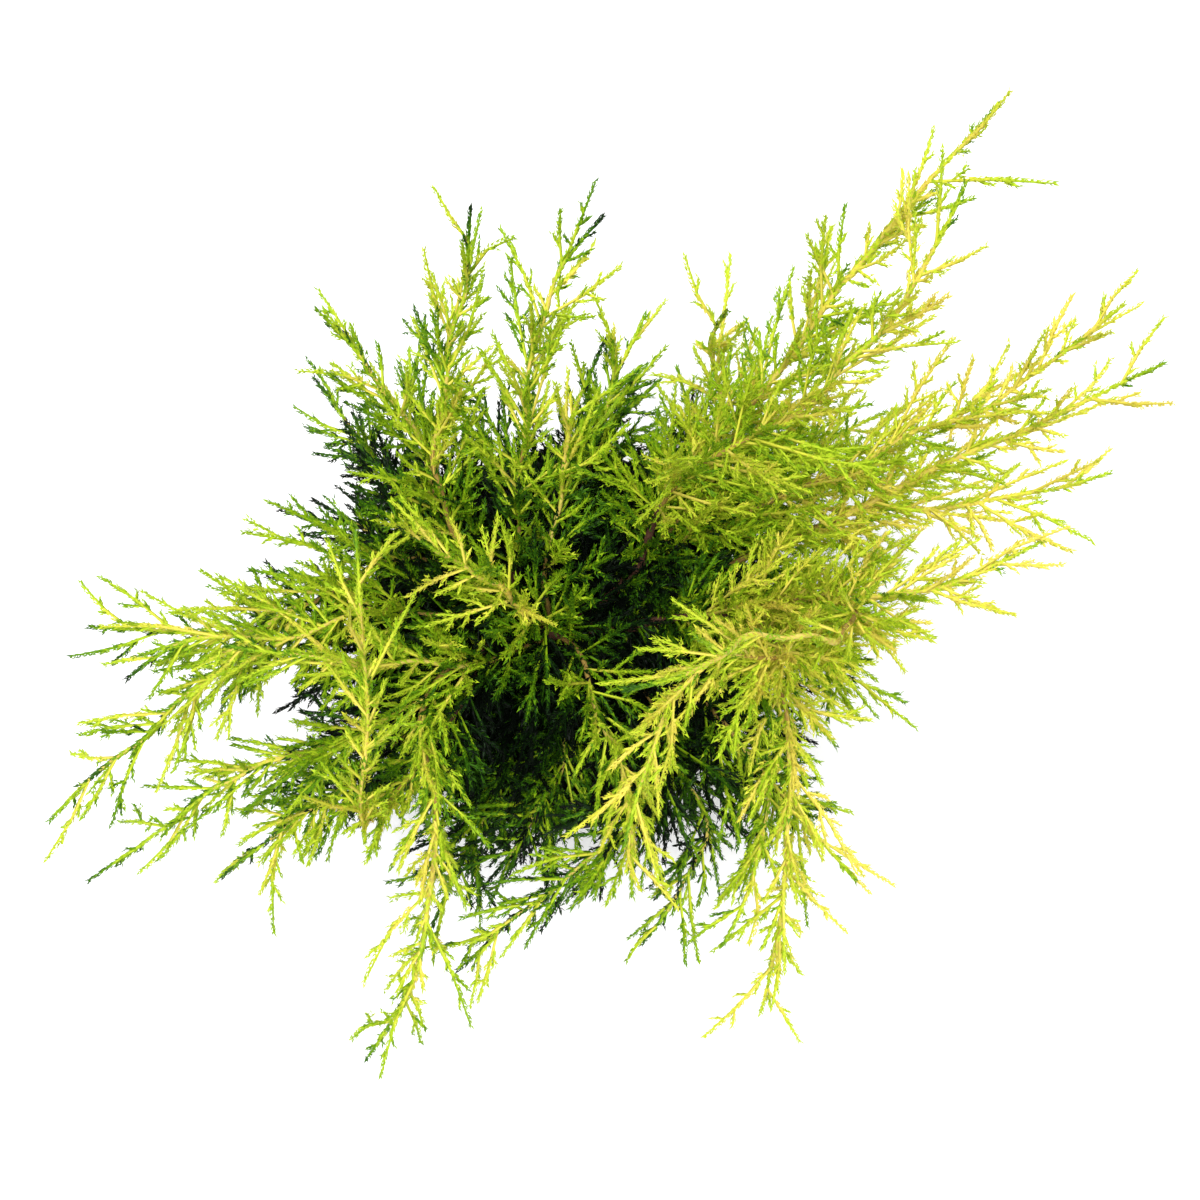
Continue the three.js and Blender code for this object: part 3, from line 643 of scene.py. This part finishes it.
def has_room(places, half_width, own=None, apart=1.0):
    """Whether places are in the solids' box and clear of pot, ground, limbs and other masses of foliage."""
    beside = np.hypot(places[:, 0], places[:, 1]) > ROOM_BESIDE_POT
    free = places[:, 2] - half_width >= np.where(beside, LEAST_HEIGHT_BESIDE_POT, LEAST_HEIGHT_OVER_POT)
    free &= ((places > box_low - PAST_BOX) & (places < box_high + PAST_BOX)).all(1)
    free &= (distances(places, limb_marks) > limb_room + half_width + SEAT_GAP).all(1)
    if own is not None:
        away = distances(places, leader_marks)
        limit = apart * away[:, own] + 2 * half_width + SEAT_GAP
        away[:, own] = np.inf
        free &= (away > limit[:, None]).all(1)
    return free


def leaning_off(axis, roll, angle):
    """A direction that leans off an axis by an angle, rolled round the axis from its level right side."""
    side = unit(np.cross(axis, UP))
    above = np.cross(side, axis)
    r, a = math.radians(roll), math.radians(angle)
    return axis * math.cos(a) + side * math.cos(r) * math.sin(a) + above * math.sin(r) * math.sin(a)


def seeded(seed):
    """Numbers from 0 to 1 that come out the same for the same seed."""
    state = seed * 7919
    while True:
        state = state * 48271 % 2147483647
        yield state / 2147483647


def twig(start, axis, full, roll, angle, fits, forward=TWIG_FORWARD, stray=UP * TWIG_LIFT):
    """The three points that bend a twig, in the first of its ways that has room."""
    choices = []
    for shorter in SHORTER:
        for turn in TURNS:
            half = full * shorter / 2
            aim = leaning_off(axis, roll + turn, angle)
            later = unit(aim + axis * forward + stray)
            choices.append([start, start + aim * half, start + aim * half + later * half])
    choices = np.array(choices)
    asked = [bezier(*choices.transpose(1, 0, 2), np.full(len(choices), t)) for t in (0.2, 0.4, 0.7, 1)]
    asked = np.stack(asked, 1)
    free = fits(asked.reshape(-1, 3)).reshape(len(choices), -1).all(1)
    return choices[free.argmax()] if free.any() else None


chance = np.random.default_rng(41)
grown = []  # the points, the share along what carries it, the mass, the kind
for own, (name, line, _, spread) in enumerate(masses):
    random = seeded(own + 1)
    roll = next(random) * 360
    for start_at in np.arange(TWIG_EVERY / 2, line.length * LAST_TWIG, TWIG_EVERY):
        share = start_at / line.length
        full = spread * (1 - TWIG_TAPER * share) * (0.8 + 0.35 * next(random))
        roll += TWIG_ROLL + ROLL_SPREAD * (next(random) - 0.5)
        start, axis = line.at(share), line.heading(share)
        made = twig(start, axis, full, roll, TWIG_ANGLE, lambda p: has_room(p, 1.5, own))
        if made is not None and np.linalg.norm(made[2] - made[0]) > LEAST_MAIN_TWIG:
            grown.append((made + waves(line, share, own), share, own, "main"))
    share = FINE_FROM
    slender, low = name == NEAR_SHOOT, name.startswith("low")
    while share < (FINE_TO_ON_NEAR_SHOOT if slender else FINE_TO):
        full = min(spread, FINE_SPREAD) * (FINE_FULL - FINE_TAPER * share) * chance.uniform(*FINE_SIZES)
        full = full * (LOW_FULLER if low else 1)
        roll += TWIG_ROLL + chance.uniform(-ROLL_SPREAD, ROLL_SPREAD)
        made = twig(
            leaders[own].at(share),
            line.heading(share),
            full,
            roll,
            angle=chance.uniform(*(LOW_ANGLES if low else FINE_ANGLES)),
            fits=lambda p: has_room(p, half_width=0.6, own=own, apart=0.35),
            forward=chance.uniform(0, 0.8),
            stray=chance.normal(0, STRAY, 3) + UP * TWIG_LIFT,
        )
        if made is not None:
            grown.append((made, share, own, "between"))
        share += (LOW_EVERY if low else FINE_EVERY + 10 * share**1.5) / line.length
    whips_end = 0 if slender else WHIPS_TO * line.length
    for start_at in np.arange(WHIPS_FROM * line.length, whips_end, WHIP_EVERY):
        share = start_at / line.length
        full = min(WHIP_LENGTH * chance.uniform(0.5, 1), 1.05 * (line.length - start_at) + 16)
        roll += TWIG_ROLL + chance.uniform(-ROLL_SPREAD, ROLL_SPREAD)
        made = twig(
            leaders[own].at(share),
            line.heading(share),
            full,
            roll,
            angle=chance.uniform(*WHIP_ANGLES),
            fits=lambda p: has_room(p, half_width=0.3, own=own, apart=0.2),
            forward=chance.uniform(-0.3, 0.7),
            stray=chance.normal(0, STRAY, 3),
        )
        if made is not None:
            grown.append((made, share, own, "whip"))
for name, line in limbs.items():
    for start_at in np.arange(INNER_FROM, line.length, INNER_EVERY):
        share = start_at / line.length
        if name == "trunk" and share < BARE_TRUNK:
            continue
        made = twig(
            line.at(share),
            line.heading(share),
            full=chance.uniform(*INNER_LENGTHS),
            roll=chance.uniform(0, 360),
            angle=INNER_ANGLE,
            fits=lambda p: has_room(p, half_width=0.2),
        )
        if made is not None:
            grown.append((made, 0.0, 0, "inner"))
for own, line in enumerate(leaders):
    cuts = np.linspace(LEAFY_FROM, 1, max(3, int(line.length * (1 - LEAFY_FROM) / LEAFY_STEP)))
    for start_at, end_at in zip(cuts[:-1], cuts[1:]):
        first, last = line.at(start_at), line.at(end_at)
        bent = 2 * line.at((start_at + end_at) / 2) - (first + last) / 2
        grown.append((np.array([first, bent, last]), (start_at + end_at) / 2, own, "leader"))
twigs = np.array([made[0] for made in grown])
twig_share = np.array([made[1] for made in grown])
twig_own = np.array([made[2] for made in grown])
kinds = np.array([made[3] for made in grown])
on_leader, inside, whips = kinds == "leader", kinds == "inner", kinds == "whip"

# The shoots. Each twig carries side shoots left and right, and each side shoot short branchlets that lie
# close along it. With their leaves all are cords two to four millimetres thick.
SHOOT_EVERY = 6.4
SHOOT_EVERY_ON_WHIP = 10
SHOOT_ANGLE = 36
SHOOT_ANGLE_ON_WHIP = 30
BRANCHLET_EVERY = 3.8
BRANCHLET_ANGLE = 27
ANGLE_SPREAD = 12
LAST_SHOOT = 0.9
TO_LIGHT = 0.1
SHOOT_LENGTH = (0.38, 8, 22)  # share of the twig, least, most
SHOOT_LENGTH_ON_WHIP = (0.22, 7, 15)
SHOOT_LENGTH_ON_LEADER = 9
BRANCHLET_LENGTH = (0.32, 3, 5.6)  # share of the side shoot, least, most
NEAR_SHOOT_SHORTER = 0.6


def slopes(strands, t):
    """The heading of each strand at a share of it."""
    t = np.asarray(t)[:, None]
    return unit((1 - t) * (strands[:, 1] - strands[:, 0]) + t * (strands[:, 2] - strands[:, 1]))


def lengths(strands):
    """How long each strand is, straight from point to point."""
    return np.linalg.norm(np.diff(strands, axis=1), axis=2).sum(1)


def side_shoots(parents, faces, every, foot, angle, sizes, least, taper, tilt):
    """Shoots that leave each parent to its left and right in turn, and lean forward along it."""
    length = lengths(parents)
    every = np.broadcast_to(every, len(parents))
    count = np.maximum(((LAST_SHOOT * length - foot) / every).astype(int), 0)
    parent = np.repeat(np.arange(len(parents)), count)
    every = every[parent]
    turn = np.arange(len(parent)) - np.repeat(np.cumsum(count) - count, count)
    share = (foot + (turn + chance.uniform(-0.3, 0.3, len(parent))) * every) / length[parent]
    share = np.clip(share, 0.02, 0.98)
    start = bezier(*parents[parent].transpose(1, 0, 2), share)
    axis = slopes(parents[parent], share)
    across = unit(np.cross(axis, faces[parent]))
    above = np.cross(across, axis)
    side = np.where(turn % 2 == 0, 1.0, -1.0)[:, None]
    roll = chance.normal(0, tilt, len(parent))[:, None]
    outward = side * across * np.cos(roll) + above * np.sin(roll)
    lean = np.broadcast_to(angle, len(parents))[parent] + chance.normal(0, ANGLE_SPREAD, len(parent))
    lean = np.radians(lean)[:, None]
    size = sizes[parent] * (1 - taper * share) * chance.gamma(6, 1 / 6, len(parent))
    aim = axis * np.cos(lean) + outward * np.sin(lean)
    later = unit(aim + 0.6 * axis + TO_LIGHT * UP + chance.normal(0, 0.12, aim.shape))
    middle = start + aim * size[:, None] / 2
    shoots = np.stack([start, middle, middle + later * size[:, None] / 2], 1)
    tip = shoots[:, 2]
    beside = np.hypot(tip[:, 0], tip[:, 1]) > ROOM_BESIDE_POT
    lowest = np.where(beside, LEAST_HEIGHT_BESIDE_POT, LEAST_HEIGHT_OVER_POT - 6)
    keep = (size > least) & (tip[:, 2] > lowest)
    return shoots[keep], parent[keep], share[keep], above[keep]


def length_on(carriers, share, least, most):
    """The length of what grows on carriers of these lengths."""
    return np.clip(share * carriers, least, most)


leader_ways = np.array([line.heading(0.5) for line in leaders])
twig_faces = np.cross(leader_ways[twig_own], unit(twigs[:, 1] - twigs[:, 0]))
stray = chance.normal(0, 0.25, twig_faces.shape)
twig_faces = unit(0.5 * twig_faces * np.sign(twig_faces[:, 2:] + 1e-9) + 0.8 * UP + stray)
twig_lengths = lengths(twigs)
on_stem = SHOOT_LENGTH_ON_LEADER * (1 - 0.2 * twig_share)
shoot_sizes = np.where(on_leader, on_stem, length_on(twig_lengths, *SHOOT_LENGTH)) * (1 - 0.3 * twig_share)
shoot_sizes = np.where(whips, length_on(twig_lengths, *SHOOT_LENGTH_ON_WHIP), shoot_sizes)
on_near_shoot = twig_own == [mass[0] for mass in masses].index(NEAR_SHOOT)
shoot_sizes[on_near_shoot] *= NEAR_SHOOT_SHORTER
shoots, on_twig, shoot_at, shoot_faces = side_shoots(
    twigs,
    twig_faces,
    every=np.where(whips, SHOOT_EVERY_ON_WHIP, SHOOT_EVERY),
    foot=4,
    angle=np.where(whips, SHOOT_ANGLE_ON_WHIP, SHOOT_ANGLE),
    sizes=shoot_sizes,
    least=3.5,
    taper=0.6,
    tilt=0.5,
)
tips, on_shoot, _, _ = side_shoots(
    shoots,
    shoot_faces,
    every=BRANCHLET_EVERY,
    foot=3,
    angle=BRANCHLET_ANGLE,
    sizes=length_on(lengths(shoots), *BRANCHLET_LENGTH),
    least=2.5,
    taper=0.35,
    tilt=0.9,
)

# Every strand of foliage, its radius at both ends, and how golden it is. The gold lies at the outside of
# the crown, most of all at its right, and along the young stems. Shaded shoots stay green, and the newest
# tips are lime. The same value sets how dark each tint is, so it also paints the crown's light and shade:
# shoots high and far out are painted light, and those deep inside are painted shade, down to near black.
STRAND_RADII = [(1.15, 0.9), (0.95, 0.8), (0.85, 0.75)]  # of twigs, side shoots and branchlets
CROWN_HEIGHT = 225
CROWN_REACH = 290
GOLD_IN_SHADE = 0.18
GOLD_FROM_LIGHT = 0.65
LIT_FROM = 0.5  # of the crown's depth
LIT_OVER = 0.4
GOLD_TO_RIGHT = 0.0007  # for each millimetre
GREEN_TO_BACK = 0.0005
GREEN_STEM_TIPS = 0.35
LESS_SHADE_LOW_DOWN = 0.1
LEAST_GOLD_OUTSIDE = 0.34
OUTSIDE_FROM = 90
GREEN_NEAR_SHOOT = 0.14
GOLD_ALONG_TWIGS = 0.1

feet = np.array([mass[2] for mass in masses])
strands = np.concatenate([twigs, shoots, tips])
order = np.r_[np.zeros(len(twigs), int), np.ones(len(shoots), int), np.full(len(tips), 2)]
radius_from, radius_to = np.array(STRAND_RADII)[order].T.copy()
on_line = leader_radius(feet[twig_own], twig_share)
radius_from[: len(twigs)][on_leader] = on_line[on_leader]
radius_to[: len(twigs)][on_leader] = on_line[on_leader]


def crown_depth(places):
    """How far out in the crown a place is: 0 at the foot of the trunk, 1 at the outside of the crown."""
    over = np.clip(places[:, 2], 0, None) / CROWN_HEIGHT
    out = np.hypot(places[:, 0], places[:, 1]) / CROWN_REACH
    return np.clip(np.sqrt(over**2 + out**2), 0, 1)


twig_luck = np.clip(chance.normal(0, 0.12, len(twigs)), -0.2, 0.2)
# Painted light and shade: twigs high and far out in the crown get bright tints, those deep inside dark
# ones.
rise = np.clip((crown_depth(twigs[:, 1]) - LIT_FROM) / LIT_OVER, 0, 1)
lit = GOLD_FROM_LIGHT * rise**2 * (3 - 2 * rise)
# Inner twigs on the bare boughs are painted a little darker still, as painted shade.
twig_gold_and_light = GOLD_IN_SHADE + lit + 0.05 * twig_share + twig_luck - 0.04 * inside
to_right, to_back = twigs[:, 1, 0], np.clip(twigs[:, 1, 1], -60, None)
twig_gold_and_light = twig_gold_and_light + GOLD_TO_RIGHT * to_right - GREEN_TO_BACK * to_back
twig_gold_and_light = twig_gold_and_light - GREEN_STEM_TIPS * on_leader * twig_share**3
# The low masses are lifted a little out of the painted shade, towards a brighter green.
twig_gold_and_light = twig_gold_and_light + LESS_SHADE_LOW_DOWN * np.array([mass[0].startswith("low") for mass in masses])[twig_own]
outside = np.clip(np.hypot(twigs[:, 1, 0], twigs[:, 1, 1]) / OUTSIDE_FROM - 1, 0, 1)
twig_gold_and_light = np.maximum(twig_gold_and_light, LEAST_GOLD_OUTSIDE * outside) - GREEN_NEAR_SHOOT * on_near_shoot
shoot_gold_and_light = twig_gold_and_light[on_twig] - 0.05 + 0.1 * (shoot_at - 0.5)
# gold holds both the foliage's own gold and this painted light and shade.
gold = np.r_[twig_gold_and_light + GOLD_ALONG_TWIGS, shoot_gold_and_light, shoot_gold_and_light[on_shoot] - 0.03]
gold = gold + chance.normal(0, 0.05, len(strands))

# The scale leaves. Small pointed leaves in pairs, each pair crosswise to the one below, that clothe every
# shoot: a keel and two faces each. How golden its shoot is, with its painted light and shade, gives each
# leaf its tint.
LEAF_STEP = np.array([1.3, 1.5, 1.45])  # on twigs, side shoots and branchlets
LEAF_LENGTH = 3.7
LEAF_OPEN = (0.22, 0.52)
LEAF_WIDTH = 0.34
WIDER_ON_STEM = 0.85
KEEL_HEIGHT = 0.4
KEEL_PLACE = 0.25
FOOT_DEPTH = 0.3
POINT_DEPTH = 0.6
GREENER_TO_TIP = np.array([0.42, 0.18, 0.18])
BARE_FOOT = 0.4
BARE_FOOT_OF_WHIP = 0.2
CORE_TIP = 0.55
# The darker shifts are painted shade between the scales; the paler foot of each twig's core is its stem's
# own colour.
CORE_STEM_AND_SHADE = [(0.12, -0.06), (-0.14, -0.14)]  # lower and upper half, each of twig and side shoot
# The darkest tints, shade and deep, are near black: painted shade for shoots deep in the crown.
TINTS = [  # from the least golden to the most
    ("shade", srgb(4, 14, 3)),
    ("deep", srgb(14, 40, 5)),
    ("leaf", srgb(52, 96, 8)),
    ("fresh", srgb(100, 146, 12)),
    ("lime", srgb(144, 180, 22)),
    ("light", srgb(178, 204, 38)),
    ("golden", srgb(198, 214, 52)),
    ("gold", srgb(216, 216, 68)),
    ("amber", srgb(232, 218, 90)),
]

length = lengths(strands)
leaves = np.maximum((length / LEAF_STEP[order]).astype(int), 4)
leaves[: len(twigs)][on_leader & (twig_share > 0.6)] *= 2
owner = np.repeat(np.arange(len(strands)), leaves)
turn = np.arange(len(owner)) - np.repeat(np.cumsum(leaves) - leaves, leaves)
share = (turn + 0.5) / leaves[owner]
bare = np.where(whips, BARE_FOOT_OF_WHIP, BARE_FOOT) * (1 - on_leader)
bare = np.r_[bare, np.zeros(len(shoots) + len(tips))]
share = bare[owner] + (1 - bare[owner]) * share
base = bezier(*strands[owner].transpose(1, 0, 2), share)
axis = slopes(strands[owner], share)
spin = chance.uniform(0, 2 * math.pi, len(strands))[owner]
spin = spin + (turn % 2) * math.pi + (turn // 2) * (math.pi / 2)
spin = spin + chance.normal(0, 0.25, len(owner))
across = unit(np.cross(axis, UP + 0.01))
above = np.cross(across, axis)
outward = across * np.cos(spin)[:, None] + above * np.sin(spin)[:, None]
around = np.cross(axis, outward)
core = (radius_from[owner] * (1 - share) + radius_to[owner] * share)[:, None]
long = (LEAF_LENGTH * (0.5 + 0.6 * core[:, 0]) * chance.uniform(0.75, 1.25, len(owner)))[:, None]
wide = LEAF_WIDTH + WIDER_ON_STEM * core
open_by = chance.uniform(*LEAF_OPEN, len(owner))[:, None]
left = base + around * wide + outward * core * FOOT_DEPTH
right = base - around * wide + outward * core * FOOT_DEPTH
keel = base + outward * (core + KEEL_HEIGHT) + axis * long * KEEL_PLACE
point = base + axis * long * np.cos(open_by) + outward * (core * POINT_DEPTH + long * np.sin(open_by))
leaf_corners = np.stack([left, right, keel, point], 1)
leaf_faces = np.array([[0, 2, 3], [2, 1, 3]])
leaf_gold_and_light = gold[owner] - GREENER_TO_TIP[order[owner]] * (share - 0.4)
leaf_gold_and_light = leaf_gold_and_light + chance.normal(0, 0.035, len(owner))

# The slim core under the leaves of each twig and side shoot. It is three-sided, and its two halves have
# tints of their own: the lower half of each twig's core is its paler stem, and the darker tint of the
# other halves is painted shade between the scales.
cored = np.flatnonzero(order < 2)
ends = [np.full(len(cored), t) for t in (0, 0.5, 1)]
spine = np.stack([bezier(*strands[cored].transpose(1, 0, 2), t) for t in ends], 1)
heads = np.stack([slopes(strands[cored], t) for t in ends], 1)
across = unit(np.cross(heads, UP + 0.01))
above = np.cross(across, heads)
turns = np.array([0, 2, 4]) * math.pi / 3
spokes = across[:, :, None] * np.cos(turns)[:, None] + above[:, :, None] * np.sin(turns)[:, None]
mean = (radius_from + radius_to) / 2
core_radius = np.stack([radius_from[cored], mean[cored], CORE_TIP * radius_to[cored]], 1)
rings = spine[:, :, None] + spokes * core_radius[..., None, None]
core_corners = np.concatenate([rings[:, k : k + 2].reshape(len(cored), 6, 3) for k in (0, 1)])
core_faces = np.array([[0, 1, 4], [0, 4, 3], [1, 2, 5], [1, 5, 4], [2, 0, 3], [2, 3, 5]])


def joined(groups):
    """The corners and faces of many like meshes as one."""
    corners, faces, count = [], [], 0
    for places, pattern in groups:
        starts = count + np.arange(len(places)) * places.shape[1]
        faces.append((pattern[None] + starts[:, None, None]).reshape(-1, 3))
        corners.append(places.reshape(-1, 3))
        count += places.shape[0] * places.shape[1]
    return np.concatenate(corners) + UP * COMPOST_LEVEL, np.concatenate(faces)


def mesh_piece(name, corners, faces, finish):
    """A mesh object of triangles, made straight from arrays in millimetres."""
    mesh = bpy.data.meshes.new(name)
    mesh.vertices.add(len(corners))
    mesh.vertices.foreach_set("co", (corners / 1000).astype(np.float32).ravel())
    mesh.loops.add(3 * len(faces))
    mesh.loops.foreach_set("vertex_index", faces.astype(np.int32).ravel())
    mesh.polygons.add(len(faces))
    mesh.polygons.foreach_set("loop_start", np.arange(0, 3 * len(faces), 3, dtype=np.int32))
    mesh.polygons.foreach_set("loop_total", np.full(len(faces), 3, np.int32))
    mesh.update(calc_edges=True)
    mesh.materials.append(finish)
    made = bpy.data.objects.new(name, mesh)
    bpy.context.collection.objects.link(made)
    return made


MOST_FACES = 190000
FIRST_GOLD_TINT = 4
leaf_tint = np.clip((leaf_gold_and_light * (len(TINTS) - 1)).astype(int), 0, len(TINTS) - 1)
core_gold_and_shade = np.concatenate([gold[cored] + np.array(shift)[order[cored]] for shift in CORE_STEM_AND_SHADE])
core_tint = np.clip((core_gold_and_shade * (len(TINTS) - 1)).astype(int), 0, len(TINTS) - 1)
for tint, (name, colour) in enumerate(TINTS):
    finish, _, _ = finish_of("foliage_" + name, base=colour, roughness=0.6, specular=0.2)
    mine = leaf_corners[leaf_tint == tint]
    cores = core_corners[core_tint == tint]
    parts = max(1, math.ceil((2 * len(mine) + 6 * len(cores)) / MOST_FACES))
    for part in range(parts):
        corners, faces = joined([(mine[part::parts], leaf_faces), (cores[part::parts], core_faces)])
        spray = mesh_piece(f"sprays_{name}_{part + 1}", corners, faces, finish)
        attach(spray, "root")
        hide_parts(*foliage_nodes)
        "gold_foliage" if tint >= FIRST_GOLD_TINT else "green_foliage"

# The floor, backdrop, light and camera. A pale studio floor that the pot stands on, a round pale backdrop
# far behind it that lights nothing, a soft light from above, a weaker one from the back right, and a pale
# room all round. The camera looks straight down on the plant, as in the photograph.
FLOOR_SIZE = 80
BACKDROP_RADIUS = 39
BACKDROP_HEIGHT = 69
PALE = (0.96, 0.96, 0.96, 1)
WHITE = (1, 1, 1, 1)
ROOM_STRENGTH = 0.42
LIGHTS = [  # name, place, kind, angle or size, power
    ("key_light", (-0.2, 0.25, 3.2), "SUN", 0.6, 3.75),
    ("fill_light", (1.6, 1.8, 2.4), "AREA", 1.6, 12),
]
LIGHT_AIM = (0, 0, 0.35)
CAMERA_PLACE = (0.0245, 0.0245, 1.7)
CAMERA_LENS = 72
CAMERA_SENSOR = 36

bpy.ops.mesh.primitive_plane_add(size=FLOOR_SIZE)
floor = bpy.context.object
floor.name = "studio_floor"
bpy.ops.mesh.primitive_cylinder_add(
    vertices=128,
    radius=BACKDROP_RADIUS,
    depth=BACKDROP_HEIGHT + 1,
    end_fill_type="NOTHING",
    location=(0, 0, (BACKDROP_HEIGHT - 1) / 2),
)
backdrop = bpy.context.object
backdrop.name = "studio_backdrop"
for surface, name, glow in ((floor, "pale_floor", 0.12), (backdrop, "pale_backdrop", 1)):
    finish, shader, _ = finish_of(name, base=PALE, roughness=0.9, specular=0.1)
    shader.inputs["Emission Color"].default_value = WHITE
    shader.inputs["Emission Strength"].default_value = glow
    surface.data.materials.append(finish)
for ray in ("diffuse", "glossy", "transmission", "shadow"):
    setattr(backdrop, "visible_" + ray, False)

world = bpy.data.worlds.new("pale_room")
bpy.context.scene.world = world
world.use_nodes = True
room = world.node_tree.nodes["Background"]
room.inputs["Color"].default_value = WHITE
room.inputs["Strength"].default_value = ROOM_STRENGTH

for name, place, kind, width, power in LIGHTS:
    lamp = bpy.data.lights.new(name, kind)
    lamp.energy = power
    setattr(lamp, "angle" if kind == "SUN" else "size", width)
    light = bpy.data.objects.new(name, lamp)
    light.location = place
    aim = np.array(LIGHT_AIM) - np.array(place)
    light.rotation_euler = (
        math.atan2(math.hypot(aim[0], aim[1]), -aim[2]),
        0,
        math.atan2(aim[1], aim[0]) - math.pi / 2,
    )
    bpy.context.collection.objects.link(light)

lens = bpy.data.cameras.new("camera_above")
lens.lens = CAMERA_LENS
lens.sensor_width = CAMERA_SENSOR
lens.clip_end = 50
camera = bpy.data.objects.new("camera_above", lens)
camera.location = CAMERA_PLACE
bpy.context.collection.objects.link(camera)
bpy.context.scene.camera = camera
bpy.context.scene.view_settings.view_transform = "Standard"
